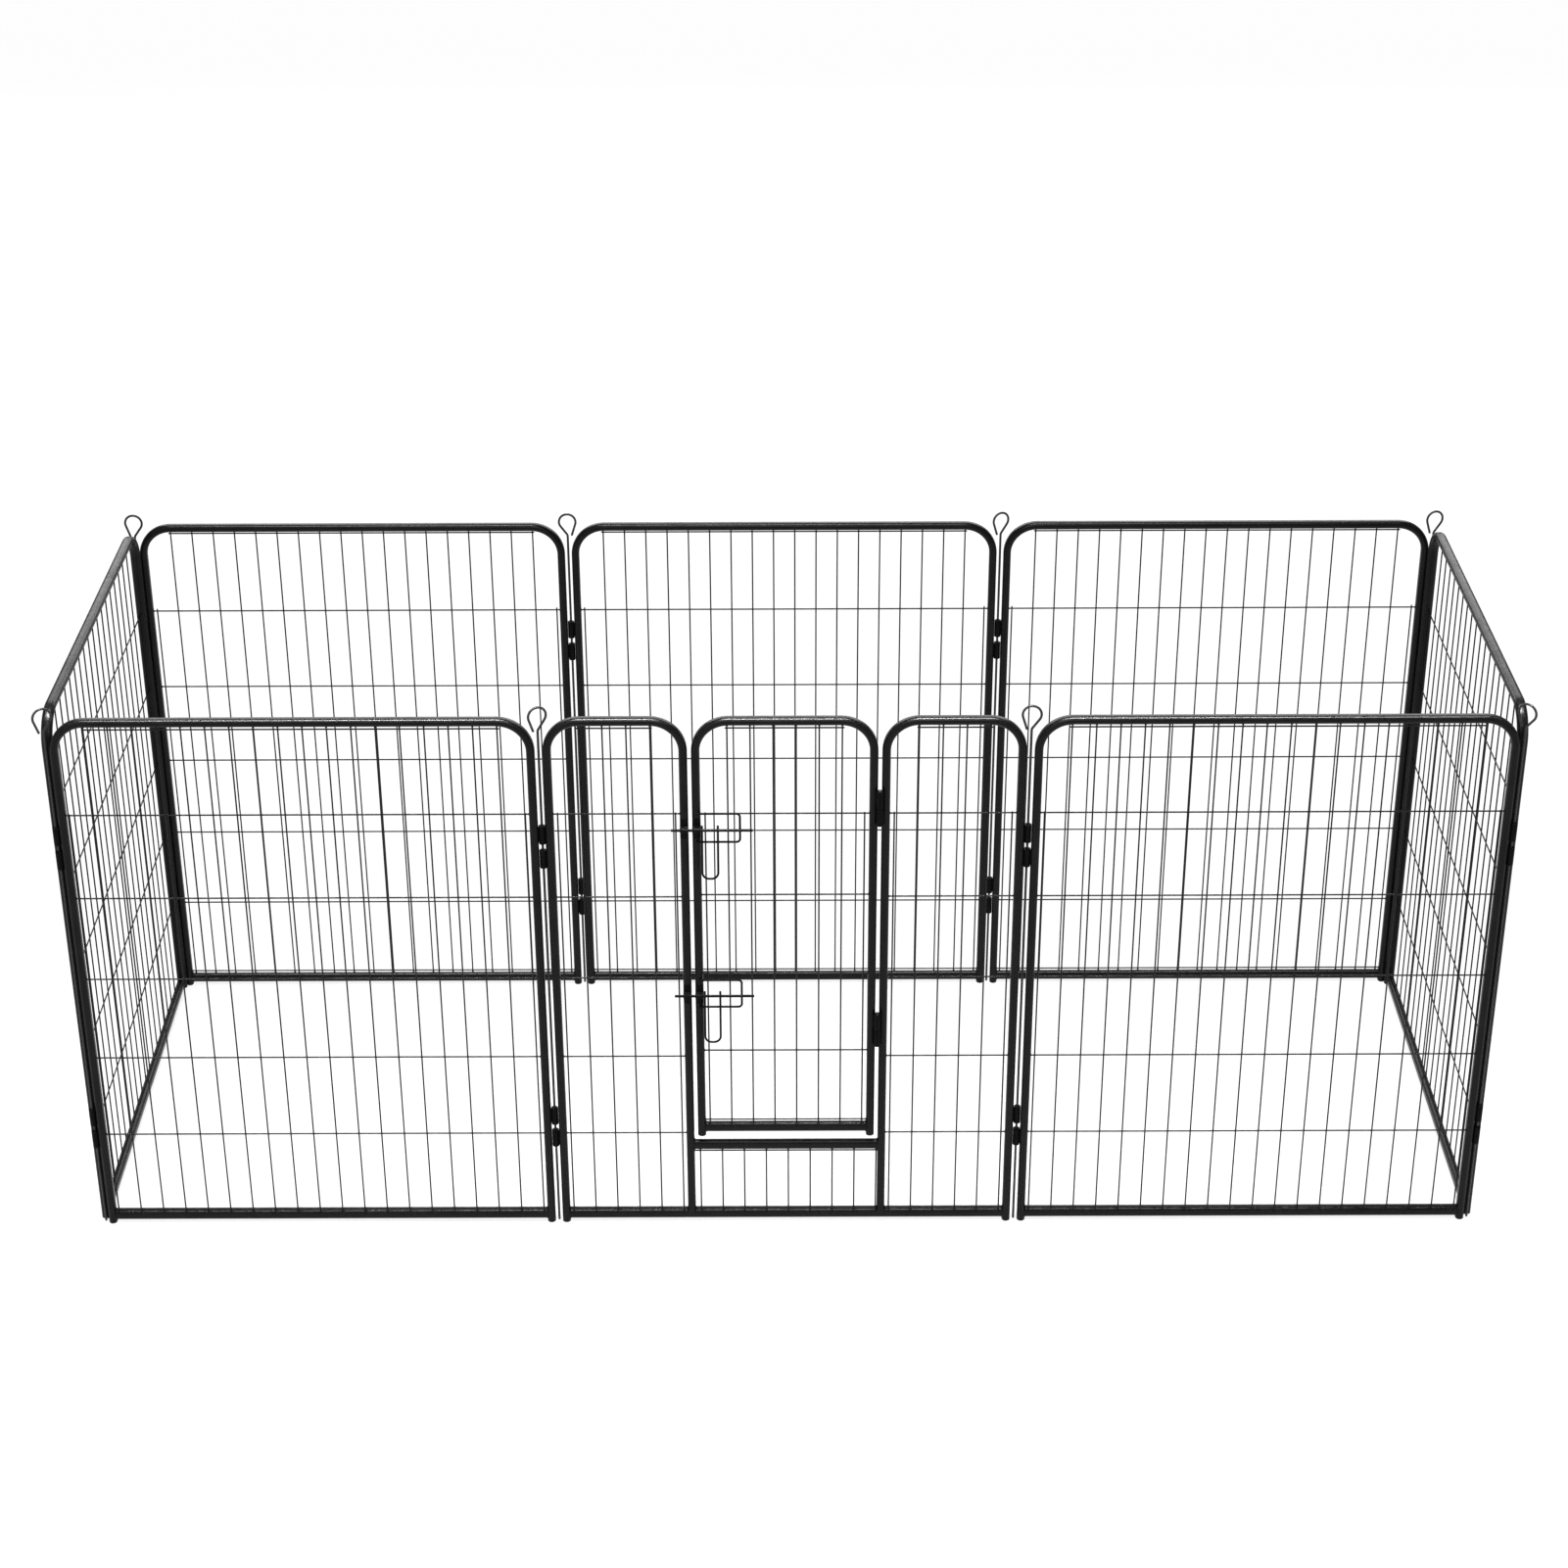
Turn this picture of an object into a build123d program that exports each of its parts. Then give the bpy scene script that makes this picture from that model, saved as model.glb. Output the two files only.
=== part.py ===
from build123d import *

import os
from math import asin, cos, degrees, radians, sin, sqrt

# A pet playpen: eight wire-mesh panels stand in a closed ring, three along the front, three along
# the back and one at each side. A lift-out pin joins each pair of neighbours, and the middle panel
# of the front row holds a hinged door with two slide bolts.
#
# Millimetres, +Z up. The origin is on the floor at the middle of the ring. +X runs to the right
# along the front row, as seen from outside, and the door faces -Y.
# Each panel is modelled in its own frame first: X along the panel, -Y outwards, Z up.

# ---- Panel frames
panel_width = 800.0  # over the two legs of a panel
panel_height = 1006.0  # floor to the top of the top rail
tube_width = 14.0  # flat-oval tube: its narrow size, in the plane of the panel
tube_depth = 19.0  # its wide size, across the panel
tube_wall = 1.0
bend_radius = 55.0  # at the top corners, on the centre line of the tube
rail_lift = 5.0  # the bottom rail's underside above the floor
corner_clearance = 1.415  # between the legs of two panels that stand at a right angle

# ---- Foot plugs
plug_head = 2.0  # thickness under the end of the leg
plug_stem = 15.0  # length inside the leg
plug_clearance = 0.1  # all round the stem

# ---- Welded mesh
wire_radius = 1.25
weld_bite = 0.05  # how deep crossing wires sink into each other
mesh_offset = 4.75  # upright wires' centre line, outwards from the middle of the tubes
mesh_edge = 6.0  # from a leg's side to the first upright wire's centre line
upright_count = 20
cross_count = 7
lowest_cross = 28.0  # height of the lowest cross wire
top_cross_drop = 12.2  # the highest cross wire under the top rail's centre line
wire_overhang = 3.5  # how far a wire's free end passes the wire it is welded to

# ---- Hinge sleeves and lift-out pins
sleeve_length = 33.5
sleeve_pitch = 46.2  # between the two sleeves of a joint
sleeve_clearance = 0.4  # between a sleeve and the neighbour's leg
upper_joint_drop = 242.2  # from the panel's top to the middle of the upper pair of sleeves
lower_joint = 200.1  # height of the middle of the lower pair
pad_depth = 4.4  # weld pad between a sleeve and its leg
pad_margin = 4.0  # pad shorter than its sleeve, at each end
pin_radius = 2.0
pin_clearance = 0.4  # between a pin and the bore of a sleeve
pin_foot = 0.5  # clearance under a pin's tip
pin_chamfer = 1.4
pin_neck_drop = 24.0  # from the panel's top to where a pin's eye begins
eye_radius = 15.5  # of the bent wire's centre line
eye_rise = 26.5  # centre of the eye above the neck
eye_bend = 8.0  # radius where the shank turns into the eye
eye_tail = 24.0  # straight free end of the eye
eye_tail_lean = 17.5  # degrees from upright
# Each pin stands turned in its sleeves by its own angle, in degrees. They are listed from the
# left front corner, along the front, and then along the back, again from the left.
eye_turns = (30.0, 25.0, 0.0, -40.0, 0.0, 180.0, 25.0, 15.0)

# ---- Door panel: a bay of mesh each side of the doorway, and a sill under it
bay_width = 224.6  # between the centre lines of a bay's outer leg and its inner post
bay_edge = 7.05  # as mesh_edge, in a bay
bay_count = 6
sill_height = 161.8  # centre of the sill rail
sill_edge = 6.2  # as mesh_edge, under the sill
sill_count = 9
sill_shift = 4.0  # the sill's mesh sits this far right of the middle
sill_wire_drop = 1.3  # clear space between the sill rail and the cross wire under it

# ---- Door
door_gap = 6.6  # clear space between a door leg and its post
door_foot_gap = 12.9  # clear space between the sill rail and the door's feet
door_leg_drop = 6.0  # the door's legs reach this far below its rail
door_edge = 7.8  # as mesh_edge, in the door
door_count = 8
door_cross_count = 4  # full cross wires above the lowest one
door_low_wire = 6.5  # from the top of the door's rail to its lowest cross wire
door_low_gap = 144.0  # between the door's two lowest cross wires

# ---- Door hinges
upper_hinge_drop = 165.4  # from the panel's top to the middle of the upper hinge
lower_hinge = 406.5  # height of the middle of the lower hinge
hinge_length = 64.0  # two knuckles, end to end
hinge_split = 0.6  # gap between the two knuckles
barrel_radius = 6.0
barrel_clearance = 0.7  # between a barrel and each tube beside it
hinge_pin_radius = 2.5
hinge_play = 0.1  # around the pin, in the door's knuckle
hinge_head_radius = 4.5
hinge_head = 1.6  # height of each riveted head
hinge_end_play = 0.3  # between the upper head and the door's knuckle
hinge_pad_width = 4.0

# ---- Slide bolts
upper_bolt_drop = 204.0  # from the panel's top to the upper bolt
lower_bolt = 478.0  # height of the lower bolt
bolt_radius = 2.25
bolt_length = 136.4
bolt_overhang = 14.6  # past the outer side of the post, when shut
bolt_stand_off = 6.0  # centre line in front of the tubes
bolt_clearance = 0.25  # in the keeper and the sleeve
strap_wall = 1.5
strap_height = 35.5
strap_wrap = 4.0  # how far back a strap's feet reach around the tube
bent_wire_radius = 1.75  # wire of the guides and handles
guide_reach = 72.8  # from the door leg's centre line to the guide's far side
guide_rise = 29.0  # guide's upper wire above the bolt
guide_drop = 24.5  # guide's lower wire below the bolt
guide_bend = 6.0
guide_clearance = 0.9  # between the bolt and the guide behind it
guide_seat = 1.5  # the guide's ends stop this far from the door leg's centre line
handle_width = 26.6  # between the centre lines of the two arms
handle_rise = 7.0  # the arms' free ends above the bolt
handle_drop = 88.5
handle_bend = 11.0
handle_lean = 7.5  # degrees forward, so that the handle rests on the guide's lower wire
handle_gap = 0.3  # between the bolt and the arms behind it
handle_side_gap = 0.45  # between the left arm and the door's leg

# ---- Worked out from the sizes above
oval_flat = (tube_depth - tube_width) / 2  # half the flat side of the tube
# At a corner of the ring, the round ends of two legs pass each other on the diagonal.
leg_from_pin = (tube_width + corner_clearance) / sqrt(2) + oval_flat
joint_gap = 2 * leg_from_pin - tube_width  # clear space between neighbouring legs in a row
pitch = panel_width + joint_gap  # between neighbouring pins
leg_x = (panel_width - tube_width) / 2
top_z = panel_height - tube_width / 2
rail_z = rail_lift + tube_depth / 2
cross_y = -mesh_offset + 2 * wire_radius - weld_bite
sleeve_radius = joint_gap / 2 - sleeve_clearance
joint_heights = (panel_height - upper_joint_drop, lower_joint)
pin_neck = panel_height - pin_neck_drop
post_x = leg_x - bay_width
door_leg_x = post_x - tube_width - door_gap
door_foot = sill_height + tube_depth / 2 + door_foot_gap
door_rail_height = door_foot + door_leg_drop + tube_depth / 2
hinge_heights = (panel_height - upper_hinge_drop, lower_hinge)
bolts = {"upper": panel_height - upper_bolt_drop, "lower": lower_bolt}
bolt_y = -tube_depth / 2 - bolt_stand_off
guide_y = bolt_y + bolt_radius + guide_clearance + bent_wire_radius


def even(first, last, count):
    """Places at an even spacing from first to last."""
    return [first + (last - first) * i / (count - 1) for i in range(count)]


cross_levels = even(lowest_cross, top_z - top_cross_drop, cross_count)
full_levels, short_level = cross_levels[:-1], cross_levels[-1]


def oval_reach(offset):
    """Half of the tube's narrow size, on a line that passes its centre at this distance."""
    past_flat = max(abs(offset) - oval_flat, 0.0)
    return sqrt((tube_width / 2) ** 2 - past_flat**2)


def rail_reach(offset):
    """A bottom rail's top above its centre, on a line that passes it at this distance."""
    return oval_flat + sqrt((tube_width / 2) ** 2 - offset**2)


# ---- Tubes


def oval(shrink=0.0):
    """The tube's outline, wide side along Y, drawn in by shrink all round."""
    return SlotOverall(tube_depth - 2 * shrink, tube_width - 2 * shrink, rotation=90)


def inverted_u(left, left_foot, right, right_foot):
    """A bent tube that rises at left, crosses at the top rail's height and comes down at right.

    Returns the hollow tube, and the same shape without its bore for coping what meets it.
    """
    corners = [(left, left_foot), (left, top_z), (right, top_z), (right, right_foot)]
    path = Plane.XZ * FilletPolyline(*corners, radius=bend_radius)
    start = Plane(origin=(left, 0, left_foot), x_dir=(1, 0, 0), z_dir=(0, 0, 1))
    full = sweep(start * oval(), path=path)
    bore = sweep(start * oval(tube_wall), path=path)
    return full - bore, full


def rail(half_length, height, *posts):
    """A straight tube with its wide side upright, coped to the posts at its ends."""
    outline = Pos(0, 0, height) * (Plane.YZ * oval())
    bore = Pos(0, 0, height) * (Plane.YZ * oval(tube_wall))
    full = extrude(outline, half_length, both=True)
    tube = full - extrude(bore, half_length, both=True)
    for post in posts:
        tube -= post
    return tube.solids().sort_by(SortBy.VOLUME)[-1], full


def leg_section(x, low, high):
    """The outside of a straight length of leg, for coping."""
    return Pos(x, 0, low) * extrude(oval(), high - low)


def foot_plug(x, foot):
    """A plastic plug: a head under the leg's end, and a stem up inside it."""
    head = extrude(oval(), plug_head)
    stem = Pos(0, 0, plug_head) * extrude(oval(tube_wall + plug_clearance), plug_stem)
    return Pos(x, 0, foot) * (head + stem)


# ---- Mesh


def wire(start, end):
    """A straight wire between two points."""
    run = Vector(*end) - Vector(*start)
    along = Plane(origin=start, z_dir=run)
    seat = (Align.CENTER, Align.CENTER, Align.MIN)
    return along * Cylinder(wire_radius, run.length, align=seat)


def ceiling(x, low, high):
    """Height where an upright wire at x meets the underside of an inverted U from low to high."""
    inner_edge = mesh_offset - wire_radius
    middle = (low + high) / 2
    past_bend = abs(x - middle) + wire_radius - ((high - low) / 2 - bend_radius)
    inside = bend_radius - oval_reach(inner_edge)
    if past_bend <= 0:
        return top_z - oval_reach(inner_edge)
    return top_z - bend_radius + sqrt(inside**2 - past_bend**2)


def uprights(low, high, edge, count):
    """Places of the upright wires between two legs whose centre lines are at low and high."""
    inset = tube_width / 2 + edge
    return even(low + inset, high - inset, count)


def grid(low, high, edge, count, levels, floor_z):
    """Mesh under an inverted U whose leg centre lines are at low and high.

    The uprights under its bends stop at the highest full cross wire, and the rest reach the top
    rail. The cross wires at levels run from leg to leg, and a short one only joins the tall
    uprights.
    """
    places = uprights(low, high, edge, count)
    half_spacing = (places[1] - places[0]) / 2
    wires = []
    tall = []
    for x in places:
        if abs(x - (low + high) / 2) > (high - low) / 2 - bend_radius + half_spacing:
            roof = max(levels) + wire_overhang
        else:
            roof = ceiling(x, low, high)
            tall.append(x)
        wires.append(wire((x, -mesh_offset, floor_z), (x, -mesh_offset, roof)))
    for z in levels:
        ends = (low + tube_width / 2, high - tube_width / 2)
        wires.append(wire((ends[0], cross_y, z), (ends[1], cross_y, z)))
    ends = (min(tall) - wire_overhang, max(tall) + wire_overhang)
    wires.append(wire((ends[0], cross_y, short_level), (ends[1], cross_y, short_level)))
    return wires


def panel_floor():
    """Where the upright wires stand on a bottom rail."""
    return rail_z + rail_reach(mesh_offset - wire_radius)


# ---- Hinge sleeves


def sleeve(side, height):
    """A sleeve around the pin at one side of a panel, with the pad that welds it to the leg."""
    reach = joint_gap / 2
    pad_size = (reach, pad_depth, sleeve_length - 2 * pad_margin)
    body = Cylinder(sleeve_radius, sleeve_length) + Pos(-side * reach / 2, 0, 0) * Box(*pad_size)
    body -= Cylinder(pin_radius + pin_clearance, sleeve_length)
    return Pos(side * pitch / 2, 0, height) * body


def sleeves():
    """The four sleeves of a panel: the upper of each pair on its right, the lower on its left."""
    made = []
    for height in joint_heights:
        made.append(sleeve(1, height + sleeve_pitch / 2))
        made.append(sleeve(-1, height - sleeve_pitch / 2))
    return made


# ---- Lift-out pins


def hinge_pin(turn):
    """A lift-out pin: a long shank whose top is bent into an open eye."""
    lean = degrees(asin(eye_radius / eye_rise))
    slope = sqrt(eye_rise**2 - eye_radius**2)
    easing = eye_bend * sin(radians(lean)) / (1 + cos(radians(lean)))
    round_top = 180 + lean + eye_tail_lean
    shank = Line((0, pin_foot), (0, pin_neck - easing))
    turn_out = JernArc(shank @ 1, shank % 1, eye_bend, -lean)
    slant = Line(turn_out @ 1, turn_out @ 1 + (turn_out % 1) * (slope - easing))
    eye = JernArc(slant @ 1, slant % 1, eye_radius, round_top)
    tail = Line(eye @ 1, eye @ 1 + (eye % 1) * eye_tail)
    path = Plane.XZ * Wire([shank, turn_out, slant, eye, tail])
    rod = sweep(Pos(0, 0, pin_foot) * Circle(pin_radius), path=path)
    tip = rod.edges().group_by(Axis.Z)[0]
    return Rot(0, 0, turn) * chamfer(tip, pin_chamfer)


# ---- Door hinges: the barrel lies in the valley between the post and the door's leg

hinge_x = (post_x + door_leg_x) / 2
barrel_spacing = tube_width / 2 + barrel_radius + barrel_clearance
hinge_y = -oval_flat - sqrt(barrel_spacing**2 - ((post_x - door_leg_x) / 2) ** 2)
knuckle_length = (hinge_length - hinge_split) / 2


def knuckle(height, leg, play):
    """One half of a door hinge, with the pad that welds it to its leg or post."""
    bore = Pos(hinge_x, hinge_y, height) * Cylinder(hinge_pin_radius + play, knuckle_length)
    barrel = Pos(hinge_x, hinge_y, height) * Cylinder(barrel_radius, knuckle_length)
    run = Vector(leg - hinge_x, -oval_flat - hinge_y)
    pad = Box(run.length, hinge_pad_width, knuckle_length - 2 * pad_margin)
    middle = Pos(hinge_x + run.X / 2, hinge_y + run.Y / 2, height)
    pad = middle * Rot(0, 0, Vector(1, 0).get_signed_angle(run)) * pad
    coping = leg_section(leg, height - knuckle_length, height + knuckle_length)
    return barrel + (pad - coping) - bore


def door_hinge_pin(height):
    """The fixed pin of a door hinge, with a riveted head at each end."""
    low = height - hinge_length / 2
    high = height + hinge_length / 2 + hinge_end_play
    seat = (Align.CENTER, Align.CENTER, Align.MIN)
    rod = Pos(0, 0, low) * Cylinder(hinge_pin_radius, high - low, align=seat)
    head = Cylinder(hinge_head_radius, hinge_head, align=seat)
    heads = Pos(0, 0, low - hinge_head) * head + Pos(0, 0, high) * head
    return Pos(hinge_x, hinge_y, 0) * (rod + heads)


# ---- Slide bolts


def strap(leg, height):
    """A bent strap on the front of a leg, with the bolt running through its hump."""
    hole = bolt_radius + bolt_clearance
    front = -tube_depth / 2 - strap_wall
    back = -tube_depth / 2 + strap_wrap
    feet = Pos((front + back) / 2, 0) * Rectangle(back - front, strap_height)
    hump = Pos((bolt_y + back) / 2, 0) * Rectangle(back - bolt_y, 2 * (hole + strap_wall))
    hump += Pos(bolt_y, 0) * Circle(hole + strap_wall)
    slot = Pos(bolt_y / 2, 0) * Rectangle(-bolt_y, 2 * hole) + Pos(bolt_y, 0) * Circle(hole)
    outline = Pos(leg, 0, height) * (Plane.YZ * (feet + hump - slot))
    coping = leg_section(leg, height - strap_height, height + strap_height)
    made = extrude(outline, tube_width / 2, both=True) - coping
    return made.solids().sort_by(SortBy.VOLUME)[-1]


def bolt_rod(height):
    """The sliding rod, shut: its left end is in the keeper on the post."""
    left = -post_x - tube_width / 2 - bolt_overhang
    rod = Cylinder(bolt_radius, bolt_length)
    rod = chamfer(rod.edges(), bolt_radius / 4)
    return Pos(left + bolt_length / 2, bolt_y, height) * Rot(0, 90, 0) * rod


def bent_wire(corners, radius, stand):
    """A round wire bent in a plane through the corners, then set in place by stand."""
    path = Plane.XZ * FilletPolyline(*corners, radius=radius)
    start = Plane(origin=path @ 0, z_dir=path % 0)
    return stand * sweep(start * Circle(bent_wire_radius), path=path)


def bolt_guide(height):
    """The wire guide beside the door's leg, which the bolt and its handle slide along."""
    near = -door_leg_x + guide_seat
    far = -door_leg_x + guide_reach
    corners = [(near, guide_rise), (far, guide_rise), (far, -guide_drop), (near, -guide_drop)]
    guide = bent_wire(corners, guide_bend, Pos(0, guide_y, height))
    coping = leg_section(-door_leg_x, height - strap_height, height + strap_height)
    return (guide - coping).solids().sort_by(SortBy.VOLUME)[-1]


def bolt_handle(height):
    """The U-shaped handle, which hangs from the bolt and leans on the guide's lower wire."""
    near = -door_leg_x + tube_width / 2 + handle_side_gap + bent_wire_radius
    far = near + handle_width
    corners = [(near, handle_rise), (near, -handle_drop), (far, -handle_drop), (far, handle_rise)]
    behind = bolt_radius + handle_gap + bent_wire_radius
    stand = Pos(0, bolt_y, height) * Rot(-handle_lean, 0, 0) * Pos(0, behind, 0)
    return bent_wire(corners, handle_bend, stand)


# ---- Assemblies, each a dictionary of node name to shape


def plain_panel():
    """A panel with no door."""
    tube, outside = inverted_u(-leg_x, plug_head, leg_x, plug_head)
    bottom = rail(leg_x, rail_z, outside)[0]
    mesh = grid(-leg_x, leg_x, mesh_edge, upright_count, full_levels, panel_floor())
    plugs = [foot_plug(-leg_x, 0), foot_plug(leg_x, 0)]
    return {
        "frame": Compound([*tube.solids(), bottom]),
        "mesh": Compound(mesh),
        "sleeves": Compound(sleeves()),
        "plugs": Compound(plugs),
    }


def door_panel():
    """The fixed part of the panel that holds the door."""
    floor_z = panel_floor()
    post_foot = rail_z + oval_flat
    _, rail_outside = rail(leg_x, rail_z)
    left, left_outside = inverted_u(-leg_x, plug_head, -post_x, post_foot)
    right, right_outside = inverted_u(post_x, post_foot, leg_x, plug_head)
    outer_legs = [leg_section(x, 0, lower_joint) for x in (-leg_x, leg_x)]
    bottom = rail(leg_x, rail_z, *outer_legs)[0]
    sill = rail(post_x, sill_height, left_outside, right_outside)[0]
    bay = (bay_edge, bay_count, full_levels, floor_z)
    under_sill = sill_height - tube_depth / 2 - sill_wire_drop - wire_radius
    return {
        "left_bay_tube": left - rail_outside,
        "right_bay_tube": right - rail_outside,
        "bottom_rail": bottom,
        "sill_rail": sill,
        "left_mesh": Compound(grid(-leg_x, -post_x, *bay)),
        "right_mesh": Compound(grid(post_x, leg_x, *bay)),
        "sill_mesh": Compound(sill_grid(floor_z, under_sill)),
        "sleeves": Compound(sleeves()),
        "plugs": Compound([foot_plug(-leg_x, 0), foot_plug(leg_x, 0)]),
        "hinge_knuckles": Compound([lower_knuckle(z) for z in hinge_heights]),
        "bolt_keepers": Compound([strap(-post_x, z) for z in bolts.values()]),
    }


def sill_grid(floor_z, under_sill):
    """The band of mesh between the bottom rail and the sill rail."""
    roof = sill_height - rail_reach(mesh_offset - wire_radius)
    wires = []
    for place in uprights(-post_x, post_x, sill_edge, sill_count):
        x = place + sill_shift
        wires.append(wire((x, -mesh_offset, floor_z), (x, -mesh_offset, roof)))
    inner = post_x - tube_width / 2
    for z in (lowest_cross, under_sill):
        wires.append(wire((-inner, cross_y, z), (inner, cross_y, z)))
    return wires


def lower_knuckle(height):
    """The post's half of a door hinge, tight on the pin."""
    return knuckle(height - (hinge_length - knuckle_length) / 2, post_x, 0)


def upper_knuckle(height):
    """The door's half of a door hinge, free on the pin."""
    return knuckle(height + (hinge_length - knuckle_length) / 2, door_leg_x, hinge_play)


def door():
    """The door, shut, with what is welded to it."""
    tube, outside = inverted_u(
        -door_leg_x, door_foot + plug_head, door_leg_x, door_foot + plug_head
    )
    lowest = door_rail_height + tube_depth / 2 + door_low_wire
    levels = [lowest, *even(lowest + door_low_gap, full_levels[-1], door_cross_count)]
    floor_z = door_rail_height + rail_reach(mesh_offset - wire_radius)
    mesh = grid(-door_leg_x, door_leg_x, door_edge, door_count, levels, floor_z)
    return {
        "tube": tube,
        "bottom_rail": rail(door_leg_x, door_rail_height, outside)[0],
        "mesh": Compound(mesh),
        "plugs": Compound([foot_plug(-door_leg_x, door_foot), foot_plug(door_leg_x, door_foot)]),
        "hinge_knuckles": Compound([upper_knuckle(z) for z in hinge_heights]),
        "bolt_sleeves": Compound([strap(-door_leg_x, z) for z in bolts.values()]),
        "bolt_guides": Compound([bolt_guide(z) for z in bolts.values()]),
    }


# ---- The ring

half_row = pitch * 1.5
half_side = pitch / 2
plain_places = {
    "front_left": (-pitch, -half_side, 0),
    "front_right": (pitch, -half_side, 0),
    "side_left": (-half_row, 0, -90),
    "side_right": (half_row, 0, 90),
    "rear_left": (-pitch, half_side, 180),
    "rear_middle": (0, half_side, 180),
    "rear_right": (pitch, half_side, 180),
}
pin_names = (
    "pin_front_left_corner",
    "pin_front_left",
    "pin_front_right",
    "pin_front_right_corner",
    "pin_rear_left_corner",
    "pin_rear_left",
    "pin_rear_right",
    "pin_rear_right_corner",
)


def place(x, y, turn):
    """Where a panel stands in the ring."""
    return Pos(x, y, 0) * Rot(0, 0, turn)


def all_nodes():
    """Every node of the playpen, in place."""
    nodes = {}
    panel = plain_panel()
    for name, spot in plain_places.items():
        for piece, shape in panel.items():
            nodes[f"{name}_{piece}"] = place(*spot) * shape
    front = place(0, -half_side, 0)
    for piece, shape in door_panel().items():
        nodes[f"door_panel_{piece}"] = front * shape
    for piece, shape in door().items():
        nodes[f"door_{piece}"] = front * shape
    nodes["door_hinge_pins"] = front * Compound([door_hinge_pin(z) for z in hinge_heights])
    for name, height in bolts.items():
        nodes[f"{name}_bolt_rod"] = front * bolt_rod(height)
        nodes[f"{name}_bolt_handle"] = front * bolt_handle(height)
    for i, (name, turn) in enumerate(zip(pin_names, eye_turns)):
        row, column = divmod(i, 4)
        x = pitch * (column - 1.5)
        y = half_side if row else -half_side
        nodes[name] = Pos(x, y, 0) * hinge_pin(turn)
    return nodes


os.makedirs("parts", exist_ok=True)
for node, shape in all_nodes().items():
    export_step(shape, f"parts/{node}.step")
    print(node, len(shape.solids()), round(sum(s.volume for s in shape.solids())))
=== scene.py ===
from math import asin, cos, pi, radians, sin, sqrt

import bpy
from mathutils import Matrix, Vector


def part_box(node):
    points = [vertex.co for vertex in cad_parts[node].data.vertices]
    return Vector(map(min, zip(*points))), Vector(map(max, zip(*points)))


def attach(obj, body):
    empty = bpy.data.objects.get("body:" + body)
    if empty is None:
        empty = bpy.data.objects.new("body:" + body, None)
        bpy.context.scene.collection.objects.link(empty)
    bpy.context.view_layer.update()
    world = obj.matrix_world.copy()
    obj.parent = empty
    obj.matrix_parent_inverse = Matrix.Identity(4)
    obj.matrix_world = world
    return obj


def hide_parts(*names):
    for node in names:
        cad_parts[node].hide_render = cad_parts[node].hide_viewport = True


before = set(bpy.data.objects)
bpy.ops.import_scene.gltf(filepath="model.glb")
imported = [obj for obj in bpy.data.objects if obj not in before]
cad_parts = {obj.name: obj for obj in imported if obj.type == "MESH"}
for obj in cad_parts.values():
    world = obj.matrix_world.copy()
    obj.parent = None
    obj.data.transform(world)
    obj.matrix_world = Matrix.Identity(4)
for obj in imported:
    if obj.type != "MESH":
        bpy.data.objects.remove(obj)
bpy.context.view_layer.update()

# The looks of a pet playpen: eight panels of black, powder-coated tube and welded wire.
#
# Each piece is built in the frame of its own panel, in millimetres: X along the panel, -Y
# outwards, Z up. Where things stand is read from the CAD solids, and the sizes below are those of
# the sections, which all panels share. A panel's pieces are made once and placed seven times.

# ---- Sizes, in millimetres
tube_radius = 7.0  # of the tube's rounded sides
tube_flat = 2.5  # half of the flat between them
bend_radius = 55.0
foot_chamfer = 0.35  # round the cut end of a tube
rail_sink = 4.0  # a rail's end goes this far into the tube beside it
plug_head = 2.0
wire_radius = 1.25
wire_overhang = 3.5  # a free end past its last weld
wire_sink = 2.0  # a welded end goes this far into its tube
crossing_weld = (1.65, 1.5, 1.65)  # half sizes of the lump where two wires cross
rail_weld = 0.95  # radius of the bead round a rail's end
foot_weld = 1.0  # beside a post that stands on a rail
pad_weld = 1.15  # along a sleeve or a barrel
strap_weld = 1.0  # above and below a strap
sleeve_radius = 6.0
sleeve_bore = 2.4
sleeve_clearance = 0.4  # between a sleeve and the leg it is welded to
pad_depth = 4.4
pad_margin = 4.0
pin_radius = 2.0
pin_tip = 0.9  # the chamfer at its foot and at the end of the eye
eye_radius = 15.5
eye_rise = 26.5
eye_bend = 8.0
eye_tail = 24.0
eye_tail_lean = radians(17.5)
eye_turns = (30, 25, 0, -40, 0, 180, 25, 15)
pin_neck = 982.0
barrel_radius = 6.0
barrel_pad_depth = 4.0
hinge_pin_radius = 2.5
hinge_clearance = 0.1  # round a hinge pin, in the door's half of the hinge
hinge_head_radius = 4.5
hinge_head = 1.6
bolt_radius = 2.25
strap_wall = 1.5
strap_hole = 2.5
bent_wire_radius = 1.75
guide_bend = 6.0
guide_sink = 2.0  # a guide's end goes this far into the door's leg
guide_weld = (3.0, 1.7, 2.5)  # half sizes of the lump of weld at a guide's end
handle_bend = 11.0
handle_chamfer = 0.35
handle_clearance = 0.3  # between an arm and the rod it is welded behind
handle_weld = (1.5, 1.2, 1.3)  # half sizes of each of the two lumps on an arm
handle_lean = radians(7.5)
handle_rise = 7.0  # of the arms' ends above the rod
handle_drop = 88.5

plain_turns = {
    "front_left": 0,
    "front_right": 0,
    "side_left": -90,
    "side_right": 90,
    "rear_left": 180,
    "rear_middle": 180,
    "rear_right": 180,
}
pin_names = (
    "pin_front_left_corner",
    "pin_front_left",
    "pin_front_right",
    "pin_front_right_corner",
    "pin_rear_left_corner",
    "pin_rear_left",
    "pin_rear_right",
    "pin_rear_right_corner",
)


# ---- Reading the CAD


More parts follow.
